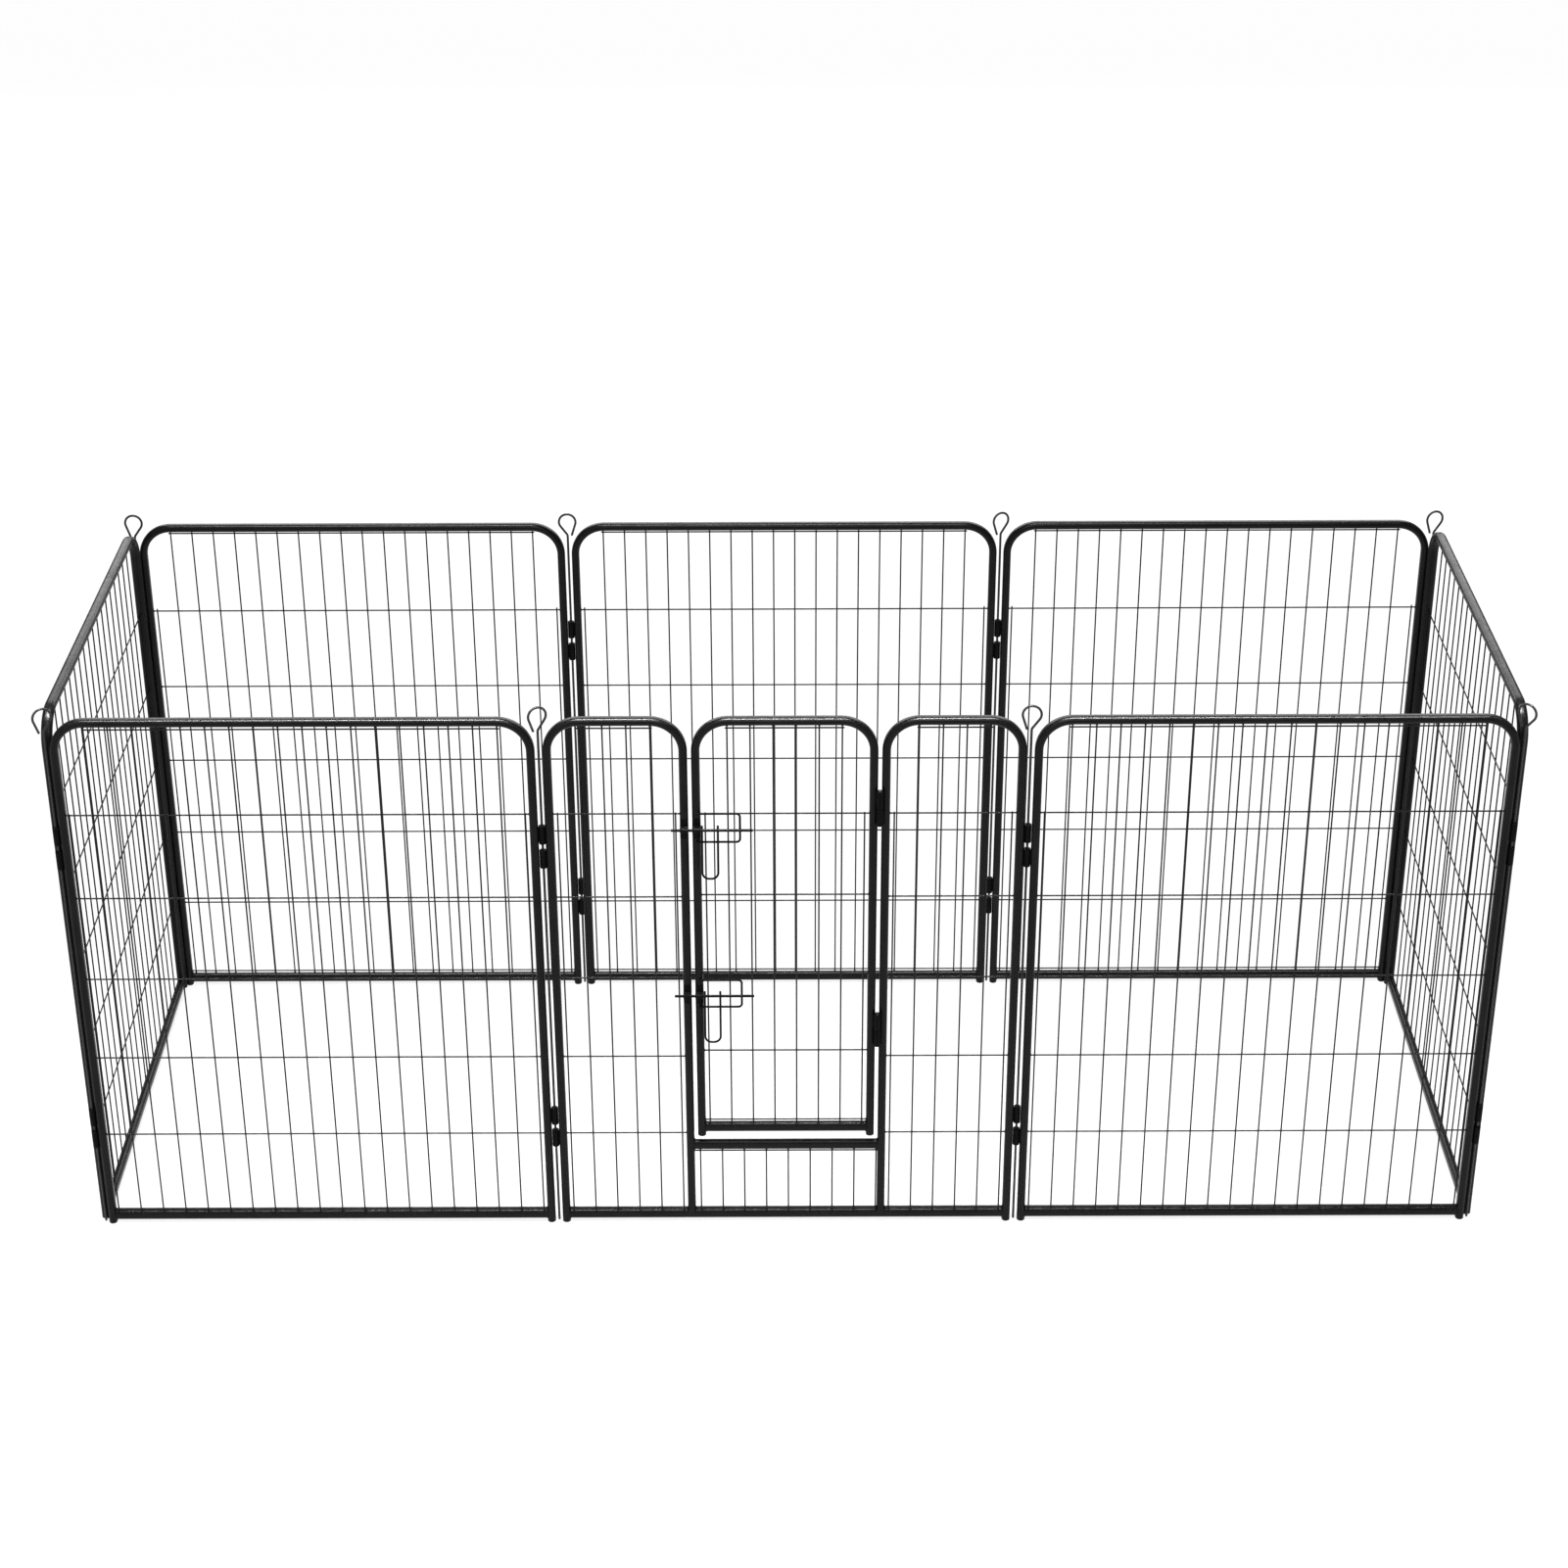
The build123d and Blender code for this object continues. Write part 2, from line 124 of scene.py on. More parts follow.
def place_of(nodes, turn):
    """Where a panel stands: the middle of its tubes' boxes, turned about Z by degrees."""
    boxes = [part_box(node) for node in nodes]
    low = [min(b[0][i] for b in boxes) for i in range(2)]
    high = [max(b[1][i] for b in boxes) for i in range(2)]
    middle = ((low[0] + high[0]) / 2, (low[1] + high[1]) / 2, 0)
    return Matrix.Translation(middle) @ Matrix.Rotation(radians(turn), 4, "Z")


def solids_of(node, place):
    """The box of each separate solid of a node, in millimetres in a panel's own frame."""
    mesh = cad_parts[node].data
    points = [tuple(round(c * 1e6) for c in v.co) for v in mesh.vertices]
    group = {p: p for p in points}

    def root(p):
        while group[p] != p:
            group[p] = group[group[p]]
            p = group[p]
        return p

    for polygon in mesh.polygons:
        first = root(points[polygon.vertices[0]])
        for i in polygon.vertices[1:]:
            group[root(points[i])] = first
    home = place.inverted()
    members = {}
    for p in sorted(group):
        members.setdefault(root(p), []).append(home @ (Vector(p) / 1e6) * 1000)
    boxes = []
    for own in members.values():
        low = Vector([min(p[i] for p in own) for i in range(3)])
        high = Vector([max(p[i] for p in own) for i in range(3)])
        boxes.append((low, high))
    return sorted(boxes, key=lambda b: (b[0] + b[1])[:])


def middle_of(box):
    return (box[0] + box[1]) / 2


# ---- Mesh building


class Shape:
    """Vertices and faces, in millimetres in a panel's own frame."""

    def __init__(self):
        self.points = []
        self.faces = []

    def skin(self, rings, closed=False, capped=True):
        """Joins a row of rings of equal length. The ends are capped, or meet if it is closed."""
        start = len(self.points)
        size = len(rings[0])
        for ring in rings:
            self.points.extend(Vector(p) for p in ring)
        for i in range(len(rings) if closed else len(rings) - 1):
            a = start + i * size
            b = start + (i + 1) % len(rings) * size
            for j in range(size):
                k = (j + 1) % size
                self.faces.append((a + j, a + k, b + k, b + j))
        if capped and not closed:
            last = start + (len(rings) - 1) * size
            self.faces.append(tuple(start + j for j in reversed(range(size))))
            self.faces.append(tuple(last + j for j in range(size)))

    def add(self, other, place):
        """Takes in another shape, placed by a matrix."""
        start = len(self.points)
        self.points.extend(place @ p for p in other.points)
        self.faces.extend(tuple(start + i for i in face) for face in other.faces)

    def mesh(self, name, material, sharp=35):
        made = bpy.data.meshes.new(name)
        made.from_pydata([p * 0.001 for p in self.points], [], self.faces)
        made.validate()
        made.polygons.foreach_set("use_smooth", [True] * len(made.polygons))
        made.set_sharp_from_angle(angle=radians(sharp))
        made.materials.append(material)
        return made


def circle(radius, count=16):
    return [(radius * cos(2 * pi * i / count), radius * sin(2 * pi * i / count)) for i in range(count)]


def oval(shrink=0.0, steps=14):
    """The tube's outline as pairs: its narrow size first, then its wide size."""
    radius = tube_radius - shrink
    outline = []
    for half in (1, -1):
        for i in range(steps + 1):
            turn = pi * i / steps + (0 if half > 0 else pi)
            outline.append((radius * cos(turn), radius * sin(turn) + half * tube_flat))
    return outline


def arc(centre, radius, start, end, steps):
    """Points and directions on an arc in the XZ plane, from start to end in radians."""
    made = []
    way = 1 if end > start else -1
    for i in range(steps + 1):
        turn = start + (end - start) * i / steps
        spot = (centre[0] + radius * cos(turn), 0, centre[1] + radius * sin(turn))
        made.append((Vector(spot), Vector((-sin(turn), 0, cos(turn))) * way))
    return made


def rounded_path(corners, radius, steps=10):
    """Points and directions along straight runs in the XZ plane, joined by arcs."""
    spots = [Vector((x, 0, z)) for x, z in corners]
    made = [(spots[0], (spots[1] - spots[0]).normalized())]
    for before, here, after in zip(spots, spots[1:], spots[2:]):
        into = (here - before).normalized()
        out = (after - here).normalized()
        side = (out - into).normalized()
        half = into.angle(out) / 2
        centre = here + side * (radius / cos(half))
        for i in range(steps + 1):
            turn = Matrix.Rotation((2 * i / steps - 1) * half, 3, into.cross(out))
            spot = centre - (turn @ side) * radius
            made.append((spot, turn @ (into + out).normalized()))
    made.append((spots[-1], (spots[-1] - spots[-2]).normalized()))
    return made


def swept(shape, path, outline, ends=0.0):
    """Sweeps an outline along a path in the XZ plane. Its second number runs along Y.

    The ends are chamfered by the given size.
    """
    rings = []
    for i, (spot, way) in enumerate(path):
        side = Vector((way.z, 0, -way.x))
        ring = [spot + side * a + Vector((0, b, 0)) for a, b in outline]
        at_end = ends and i in (0, len(path) - 1)
        if not at_end:
            rings.append(ring)
            continue
        inward = way if i == 0 else -way
        small = [p + (spot - p).normalized() * ends for p in ring]
        pair = [small, [p + inward * ends for p in ring]]
        rings.extend(pair if i == 0 else reversed(pair))
    shape.skin(rings)


def turned(shape, base, way, profile, count=24, closed=False):
    """Turns a profile of (radius, height) about an axis through base."""
    spin = Vector(way).to_track_quat("Z", "Y").to_matrix()
    rings = []
    for radius, height in profile:
        rings.append([Vector(base) + spin @ Vector((a, b, height)) for a, b in circle(radius, count)])
    shape.skin(rings, closed=closed)


def nugget(shape, centre, radii, count=10):
    """A rounded lump of weld."""
    rings = []
    for i in range(1, 6):
        turn = pi * i / 6 - pi / 2
        ring = []
        for a, b in circle(cos(turn), count):
            offset = (a * radii[0], b * radii[1], sin(turn) * radii[2])
            ring.append(Vector(centre) + Vector(offset))
        rings.append(ring)
    shape.skin(rings)


def bead(shape, path, radius, closed=False, scale=2.2):
    """A weld bead along a line of points, with the ripples of its passes."""
    rings = []
    run = 0.0
    for i, spot in enumerate(path):
        after = path[(i + 1) % len(path)] if closed or i + 1 < len(path) else spot
        before = path[i - 1] if closed or i else spot
        way = (after - before).normalized()
        side = way.orthogonal().normalized()
        up = way.cross(side)
        ripple = 1 + 0.16 * abs(sin(pi * run / scale))
        taper = 1.0
        if not closed:
            taper = sqrt(max(0.03, min(1.0, min(i, len(path) - 1 - i) / 3)))
        size = radius * ripple * taper
        rings.append([spot + side * a + up * b for a, b in circle(size, 8)])
        run += (after - spot).length
    shape.skin(untwisted(rings), closed=closed)


def untwisted(rings):
    """Turns each ring's start to lie nearest the start of the ring before it."""
    made = [rings[0]]
    for ring in rings[1:]:
        first = min(range(len(ring)), key=lambda i: (ring[i] - made[-1][0]).length)
        made.append(ring[first:] + ring[:first])
    return made


def block(shape, place, size, edge=0.6):
    """A block with rounded upright edges and chamfered ends, standing along its own Z."""
    half = [s / 2 for s in size]
    rings = []
    levels = (
        (-half[2], edge),
        (-half[2] + edge, 0),
        (half[2] - edge, 0),
        (half[2], edge),
    )
    for z, inset in levels:
        ring = []
        for quarter, (sx, sy) in enumerate(((1, 1), (-1, 1), (-1, -1), (1, -1))):
            for i in range(4):
                turn = pi / 2 * (quarter + i / 3)
                x = sx * (half[0] - edge) + (edge - inset * 0.9) * cos(turn)
                y = sy * (half[1] - edge) + (edge - inset * 0.9) * sin(turn)
                ring.append(place @ Vector((x, y, z)))
        rings.append(ring)
    shape.skin(rings)


# ---- Tubes


def reach(offset):
    """Half of the tube's narrow size on a line that passes its centre at this distance."""
    return sqrt(tube_radius**2 - max(abs(offset) - tube_flat, 0.0) ** 2)


def bent_tube(shape, left, left_foot, right, right_foot, top):
    """An inverted U of tube between two centre lines, with a cut edge at each foot."""
    corners = [(left, left_foot), (left, top), (right, top), (right, right_foot)]
    swept(shape, rounded_path(corners, bend_radius, 16), oval(), foot_chamfer)


def straight_rail(shape, low, high, height):
    """A rail with its wide side upright, let into the tubes at its ends, with a bead round each."""
    rings = []
    for x in (low - rail_sink, high + rail_sink):
        rings.append([Vector((x, a, height + b)) for a, b in oval()])
    shape.skin(rings)
    for x, side in ((low, 1), (high, -1)):
        path = []
        for a, b in oval(-0.35):
            nearest = tube_radius - reach(a)
            path.append(Vector((x - side * (nearest - 0.3), a, height + b)))
        bead(shape, path, rail_weld, closed=True)


def foot_bead(shape, x, rail_height):
    """The beads that hold a post down on the rail under it."""
    for side in (-1, 1):
        path = []
        for i in range(13):
            y = (i / 6 - 1) * (tube_radius - 0.4)
            top = rail_height + tube_flat + sqrt(tube_radius**2 - y**2)
            path.append(Vector((x + side * (reach(y) + 0.2), y, top)))
        bead(shape, path, foot_weld)


def plug(shape, x, foot):
    """The head of a foot plug, with a rounded rim and a slightly raised middle."""
    levels = ((0.0, 1.1), (0.35, 0.35), (0.9, 0.0), (plug_head - 0.1, 0.0))
    rings = []
    for height, inset in levels:
        rings.append([Vector((x + a, b, foot + height)) for a, b in oval(inset - 0.12)])
    shape.skin(rings)


# ---- Welded mesh


def wire_run(shape, start, end, start_free, end_free):
    """A straight wire. A free end is cut, with a rounded rim; any other is let into its tube."""
    way = (end - start).normalized()
    length = (end - start).length
    rim = 0.3
    low = 0.0 if start_free else -wire_sink
    high = length if end_free else length + wire_sink
    profile = [
        (wire_radius - rim, low),
        (wire_radius, low + rim),
        (wire_radius, high - rim),
        (wire_radius - rim, high),
    ]
    turned(shape, start, way, profile, 12)
    for spot, free in ((start, start_free), (end, end_free)):
        if not free:
            flat = [1.9 - 0.5 * abs(c) for c in way]
            nugget(shape, spot, flat)


def wire_mesh(shape, boxes, free_ends=True):
    """All the wires of a mesh and a nugget at each crossing, from the boxes of the CAD wires."""
    slack = 0.1
    runs = []
    for box in boxes:
        size = box[1] - box[0]
        axis = 2 if size.z > size.x else 0
        runs.append((axis, middle_of(box), box[0][axis], box[1][axis]))
    for axis, middle, low, high in runs:
        other = 2 - axis
        crossings = []
        for way, spot, start, end in runs:
            if way == other and start - slack < middle[other] < end + slack:
                if low < spot[axis] < high:
                    crossings.append(spot[axis])
                    if axis == 2:
                        depth = (middle.y + spot.y) / 2
                        nugget(shape, (middle.x, depth, spot.z), crossing_weld, 8)
        start = middle.copy()
        end = middle.copy()
        start[axis] = low
        end[axis] = high
        near = min(crossings) - low < wire_overhang + slack
        far = high - max(crossings) < wire_overhang + slack
        wire_run(shape, start, end, free_ends and near, free_ends and far)


# ---- Sleeves, hinges and pins


def hollow_barrel(shape, centre, length, radius, bore):
    """A short thick-walled tube with its rims broken."""
    half = length / 2
    profile = [
        (bore, -half + 0.3),
        (bore + 0.3, -half),
        (radius - 0.55, -half),
        (radius - 0.15, -half + 0.2),
        (radius, -half + 0.6),
        (radius, half - 0.6),
        (radius - 0.15, half - 0.2),
        (radius - 0.55, half),
        (bore + 0.3, half),
        (bore, half - 0.3),
    ]
    turned(shape, centre, (0, 0, 1), profile, 32, closed=True)


def welded_barrel(shape, centre, length, radius, bore, leg, depth):
    """A barrel with the web and the two beads that hold it to a leg at leg (x, y)."""
    hollow_barrel(shape, centre, length, radius, bore)
    run = Vector((leg[0] - centre.x, leg[1] - centre.y, 0))
    way = run.normalized()
    side = Vector((-way.y, way.x, 0))
    near = bore + 1.2
    far = run.length - tube_radius + 0.8
    middle = centre + way * ((near + far) / 2)
    turn = Matrix((way, side, Vector((0, 0, 1)))).transposed().to_4x4()
    size = (far - near, depth - 0.4, length - 2 * pad_margin)
    block(shape, Matrix.Translation(middle) @ turn, size)
    valley = (radius + run.length - tube_radius) / 2
    for edge in (-1, 1):
        foot = centre + way * valley + side * edge * (depth / 2 - 0.1)
        path = []
        steps = 16
        for i in range(steps + 1):
            z = (i / steps - 0.5) * (length - 2 * pad_margin + 1)
            path.append(foot + Vector((0, 0, z)))
        bead(shape, path, pad_weld)


def sleeves(shape, boxes):
    """The hinge sleeves of a panel, each beside the leg on its own side."""
    for box in boxes:
        side = 1 if middle_of(box).x > 0 else -1
        outer = box[1].x if side > 0 else box[0].x
        axis = outer - side * sleeve_radius
        leg = axis - side * (sleeve_radius + sleeve_clearance + tube_radius)
        centre = Vector((axis, 0, middle_of(box).z))
        length = box[1].z - box[0].z
        welded_barrel(shape, centre, length, sleeve_radius, sleeve_bore, (leg, 0), pad_depth)


def lift_pin(shape, foot):
    """A pin whose top is bent into an open eye, in its own XZ plane."""
    lean = asin(eye_radius / eye_rise)
    slope = sqrt(eye_rise**2 - eye_radius**2)
    easing = eye_bend * sin(lean) / (1 + cos(lean))
    way = Vector((sin(lean), 0, cos(lean)))
    path = [(Vector((0, 0, z)), Vector((0, 0, 1))) for z in (foot, pin_neck - easing)]
    path += arc((eye_bend, pin_neck - easing), eye_bend, pi, pi - lean, 8)[1:]
    slant_end = path[-1][0] + way * (slope - easing)
    centre = slant_end + Vector((-way.z, 0, way.x)) * eye_radius
    start = -lean
    path += arc((centre.x, centre.z), eye_radius, start, start + pi + lean + eye_tail_lean, 40)
    end, last = path[-1]
    path.append((end + last * eye_tail, last))
    swept(shape, path, circle(pin_radius, 16), pin_tip)


def rivet(shape, centre, low, high):
    """A hinge pin with a domed head at each end."""
    dome = []
    for i in range(7):
        turn = pi / 2 * i / 6
        dome.append((hinge_head_radius * cos(turn) + 0.02, hinge_head * (0.25 + 0.75 * sin(turn))))
    top = high - hinge_head
    bottom = low + hinge_head
    profile = [(r, bottom - h) for r, h in reversed(dome)]
    profile += [(hinge_head_radius, bottom), (hinge_pin_radius, bottom)]
    profile += [(hinge_pin_radius, top), (hinge_head_radius, top)]
    profile += [(r, top + h) for r, h in dome]
    turned(shape, (centre.x, centre.y, 0), (0, 0, 1), profile, 28)


# ---- Slide bolts


def strap(shape, x, bolt_y, height, half_height):
    """A strap formed round the front of a leg, with a hump over the bolt."""
    nose = -tube_flat - tube_radius
    flat_y = nose - strap_wall / 2
    hump = strap_hole + strap_wall / 2
    stations = [(flat_y, -half_height, 1.0), (flat_y, -hump - 2.6, 1.0)]
    stations += [(flat_y - 0.25, -hump - 1.2, 0.7), (flat_y - 1.3, -hump - 0.25, 0.35)]
    for i in range(9):
        turn = pi * i / 8
        stations.append((bolt_y - hump * sin(turn), -hump * cos(turn), 0.0))
    stations += [(flat_y - 1.3, hump + 0.25, 0.35), (flat_y - 0.25, hump + 1.2, 0.7)]
    stations += [(flat_y, hump + 2.6, 1.0), (flat_y, half_height, 1.0)]
    half_width = tube_radius - 0.1
    outer = tube_radius + strap_wall
    rings = []
    for i, (y, z, hug) in enumerate(stations):
        before = stations[max(i - 1, 0)]
        after = stations[min(i + 1, len(stations) - 1)]
        way = Vector((0, after[0] - before[0], after[1] - before[1])).normalized()
        out = Vector((0, -way.z, way.y))
        end = i in (0, len(stations) - 1)
        ring = []
        for face in (1, -1):
            for j in range(11):
                u = (j / 5 - 1) * face * (half_width - (0.5 if end else 0.0))
                back = hug * (outer - sqrt(outer**2 - u**2))
                edge = 0.25 if abs(abs(u) - half_width) < 0.01 else 0.0
                lift = out * face * (strap_wall / 2 - edge - (0.3 if end else 0.0))
                ring.append(Vector((x + u, y + back, height + z)) + lift)
        rings.append(ring)
    shape.skin(rings)
    half_bead = 4.5
    for side in (-1, 1):
        path = []
        for i in range(9):
            u = (i / 4 - 1) * half_bead
            y = -tube_flat - sqrt((tube_radius + 0.4) ** 2 - u**2)
            path.append(Vector((x + u, y, height + side * (half_height + 0.1))))
        bead(shape, path, strap_weld)


def bolt_rod(shape, box):
    """The sliding rod, with rounded ends."""
    middle = middle_of(box)
    length = box[1].x - box[0].x
    profile = []
    for i in range(5):
        turn = pi / 2 * i / 4
        profile.append((0.35 * bolt_radius + 0.65 * bolt_radius * sin(turn), 0.9 * (1 - cos(turn))))
    profile += [(r, length - h) for r, h in reversed(profile)]
    turned(shape, (box[0].x, middle.y, middle.z), (1, 0, 0), profile, 24)


def bolt_guide(shape, box):
    """The wire loop beside the door's leg that the bolt runs along, with a weld at each end."""
    low, high = box
    y = middle_of(box).y
    near = low.x - guide_sink
    far = high.x - bent_wire_radius
    top = high.z - bent_wire_radius
    bottom = low.z + bent_wire_radius
    made = Shape()
    corners = [(near, top), (far, top), (far, bottom), (near, bottom)]
    swept(made, rounded_path(corners, guide_bend, 10), circle(bent_wire_radius, 14))
    shape.add(made, Matrix.Translation((0, y, 0)))
    for z in (top, bottom):
        nugget(shape, (low.x + 2.2, y + 0.6, z), guide_weld)


def bolt_handle(shape, box, rod):
    """The U-shaped handle that hangs from the rod, with a weld where each arm crosses it."""
    near = box[0].x + bent_wire_radius
    far = box[1].x - bent_wire_radius
    behind = bolt_radius + handle_clearance + bent_wire_radius
    made = Shape()
    corners = [
        (near, handle_rise),
        (near, -handle_drop),
        (far, -handle_drop),
        (far, handle_rise),
    ]
    path = rounded_path(corners, handle_bend, 14)
    swept(made, path, circle(bent_wire_radius, 14), handle_chamfer)
    turn = Matrix.Rotation(-handle_lean, 4, "X")
    stand = Matrix.Translation((0, rod.y, rod.z)) @ turn @ Matrix.Translation((0, behind, 0))
    shape.add(made, stand)
    for x in (near, far):
        for z in (-1.5, 1.5):
            spot = stand @ Vector((x, -bent_wire_radius - handle_clearance, z))
            nugget(shape, spot, handle_weld)


# ---- Materials


def material_of(name, colour, roughness):
    """A material of one colour and roughness, and its shader."""
    made = bpy.data.materials.new(name)
    made.use_nodes = True
    made.diffuse_color = (*colour, 1)
    shader = made.node_tree.nodes["Principled BSDF"]
    shader.inputs["Base Color"].default_value = (*colour, 1)
    shader.inputs["Roughness"].default_value = roughness
    return made, shader


def add_node(material, kind, **sockets):
    """A node with the given values on its sockets. A space in a socket's name is written _."""
    node = material.node_tree.nodes.new(kind)
    for name, value in sockets.items():
        node.inputs[name.replace("_", " ")].default_value = value
    return node


def noise(material, scale, detail=2.0, roughness=0.5):
    """Noise at a scale in waves per metre, fixed to the piece."""
    links = material.node_tree.links
    where = material.node_tree.nodes.new("ShaderNodeTexCoord")
    made = add_node(material, "ShaderNodeTexNoise", Scale=scale, Detail=detail, Roughness=roughness)
    links.new(where.outputs["Object"], made.inputs["Vector"])
    return made.outputs["Fac"]


def ramp(material, source, stops):
    """A colour ramp over a source, from (place, colour) pairs."""
    made = material.node_tree.nodes.new("ShaderNodeValToRGB")
    elements = made.color_ramp.elements
    while len(elements) < len(stops):
        elements.new(0.5)
    for element, (spot, colour) in zip(elements, stops):
        element.position = spot
        element.color = (*colour, 1)
    material.node_tree.links.new(source, made.inputs["Fac"])
    return made.outputs["Color"]


def grey(value):
    return (value, value, value * 1.02)


def coat(name, dark, light, smooth, rough, peel, grain, gloss, wear=0.0):
    """A sprayed and baked coat.

    Its grey drifts from dark to light and its roughness from smooth to rough. Peel and grain are
    the strengths of its coarse and fine bumps, gloss is the strength of its reflections, and wear
    is the grey of the spots that are rubbed off its edges.
    """
    material, shader = material_of(name, grey((dark + light) / 2), (smooth + rough) / 2)
    links = material.node_tree.links
    clouds = noise(material, 22.0, 4.0, 0.6)
    colour = ramp(material, clouds, [(0.32, grey(dark)), (0.68, grey(light))])
    if wear:
        geometry = material.node_tree.nodes.new("ShaderNodeNewGeometry")
        scuffs = noise(material, 260.0, 5.0, 0.7)
        edge = ramp(material, geometry.outputs["Pointiness"], [(0.52, grey(0)), (0.6, grey(1))])
        spots = ramp(material, scuffs, [(0.5, grey(0)), (0.7, grey(1))])
        both = add_node(material, "ShaderNodeMath")
        both.operation = "MULTIPLY"
        links.new(edge, both.inputs[0])
        links.new(spots, both.inputs[1])
        mix = material.node_tree.nodes.new("ShaderNodeMix")
        mix.data_type = "RGBA"
        mix.inputs["B"].default_value = (wear, wear, wear * 0.97, 1)
        links.new(both.outputs[0], mix.inputs["Factor"])
        links.new(colour, mix.inputs["A"])
        colour = mix.outputs["Result"]
    links.new(colour, shader.inputs["Base Color"])
    patches = noise(material, 90.0, 3.0, 0.55)
    finish = ramp(material, patches, [(0.3, grey(smooth)), (0.7, grey(rough))])
    links.new(finish, shader.inputs["Roughness"])
    shader.inputs["Specular IOR Level"].default_value = gloss
    coarse = noise(material, 620.0, 2.0, 0.5)
    fine = noise(material, 3800.0, 2.0, 0.6)
    low = add_node(material, "ShaderNodeBump", Strength=peel, Distance=0.0004)
    high = add_node(material, "ShaderNodeBump", Strength=grain, Distance=0.00008)
    links.new(coarse, low.inputs["Height"])
    links.new(fine, high.inputs["Height"])
    links.new(low.outputs["Normal"], high.inputs["Normal"])
    links.new(high.outputs["Normal"], shader.inputs["Normal"])
    return material


def moulded_plastic(name):
    """Black plastic with the fine spark-eroded grain of its mould."""
    material, shader = material_of(name, grey(0.018), 0.6)
    links = material.node_tree.links
    clouds = noise(material, 60.0, 3.0)
    colour = ramp(material, clouds, [(0.3, grey(0.014)), (0.7, grey(0.024))])
    links.new(colour, shader.inputs["Base Color"])
    patches = noise(material, 400.0, 3.0)
    finish = ramp(material, patches, [(0.3, grey(0.5)), (0.7, grey(0.7))])
    links.new(finish, shader.inputs["Roughness"])
    grains = noise(material, 5200.0, 2.0, 0.7)
    bump = add_node(material, "ShaderNodeBump", Strength=0.5, Distance=0.0001)
    links.new(grains, bump.inputs["Height"])
    links.new(bump.outputs["Normal"], shader.inputs["Normal"])
    return material


coats = {
    "tube_enamel": dict(dark=0.006, light=0.012, smooth=0.24, rough=0.34, peel=0.3, grain=0.4, gloss=0.3),
    "wire_enamel": dict(dark=0.007, light=0.013, smooth=0.28, rough=0.4, peel=0.25, grain=0.4, gloss=0.35),
    "fitting_enamel": dict(
        dark=0.003, light=0.006, smooth=0.42, rough=0.56, peel=0.4, grain=0.5, gloss=0.15, wear=0.03
    ),
    "bolt_steel": dict(
        dark=0.003, light=0.006, smooth=0.34, rough=0.46, peel=0.25, grain=0.4, gloss=0.2, wear=0.05
    ),
    "pin_steel": dict(
        dark=0.03, light=0.05, smooth=0.25, rough=0.38, peel=0.2, grain=0.4, gloss=0.6, wear=0.1
    ),
    "hinge_pin_steel": dict(
        dark=0.006, light=0.01, smooth=0.34, rough=0.46, peel=0.25, grain=0.4, gloss=0.3, wear=0.06
    ),
}
materials = {name: coat(name, **values) for name, values in coats.items()}
materials["foot_plastic"] = moulded_plastic("foot_plastic")


# ---- Pieces


def put(name, mesh, place, body, slot, *nodes):
    """Places a piece, parents it to the body it rides on, and hides the CAD nodes it stands for."""
    piece = bpy.data.objects.new(name, mesh)
    bpy.context.scene.collection.objects.link(piece)
    piece.matrix_world = place
    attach(piece, body)
    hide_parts(*nodes)


def finished(name, slot, build, *facts):
    """Makes a mesh with one of the builders above."""
    shape = Shape()
    build(shape, *facts)
    return shape.mesh(name, materials[slot])


def plain_frame(shape, boxes):
    """The bent tube and the bottom rail of a panel with no door."""
    tube = max(boxes, key=lambda b: b[1].z)
    bottom = min(boxes, key=lambda b: b[1].z)
    leg = tube[1].x - tube_radius
    top = tube[1].z - tube_radius
    bent_tube(shape, -leg, tube[0].z, leg, tube[0].z, top)
    straight_rail(shape, -leg + tube_radius, leg - tube_radius, middle_of(bottom).z)


def one_tube(shape, boxes, posts=(), rail_height=0.0):
    """A single bent tube. Each of the posts is the side whose foot stands on the rail."""
    low, high = boxes[0]
    left = low.x + tube_radius
    right = high.x - tube_radius
    feet = []
    for side in (-1, 1):
        feet.append(rail_height + tube_flat if side in posts else low.z)
    bent_tube(shape, left, feet[0], right, feet[1], high.z - tube_radius)
    for side in posts:
        foot_bead(shape, left if side < 0 else right, rail_height)


def one_rail(shape, boxes, inner):
    """A single rail between the sides of two tubes, inner from the middle."""
    straight_rail(shape, -inner, inner, middle_of(boxes[0]).z)


def plugs(shape, boxes):
    for box in boxes:
        plug(shape, middle_of(box).x, box[0].z)


def knuckles(shape, boxes, axis, leg_x, bore):
    """One half of each door hinge, welded to the leg or post at leg_x."""
    for box in boxes:
        centre = Vector((axis.x, axis.y, middle_of(box).z))
        length = box[1].z - box[0].z
        leg = (leg_x, -tube_flat)
        welded_barrel(shape, centre, length, barrel_radius, bore, leg, barrel_pad_depth)


def hinge_pins(shape, boxes):
    for box in boxes:
        rivet(shape, middle_of(box), box[0].z, box[1].z)


def straps(shape, boxes, bolt_y):
    for box in boxes:
        middle = middle_of(box)
        strap(shape, middle.x, bolt_y, middle.z, (box[1].z - box[0].z) / 2)


def guides(shape, boxes):
    for box in boxes:
        bolt_guide(shape, box)


def handle(shape, boxes, rod):
    bolt_handle(shape, boxes[0], rod)


def rod(shape, boxes):
    bolt_rod(shape, boxes[0])


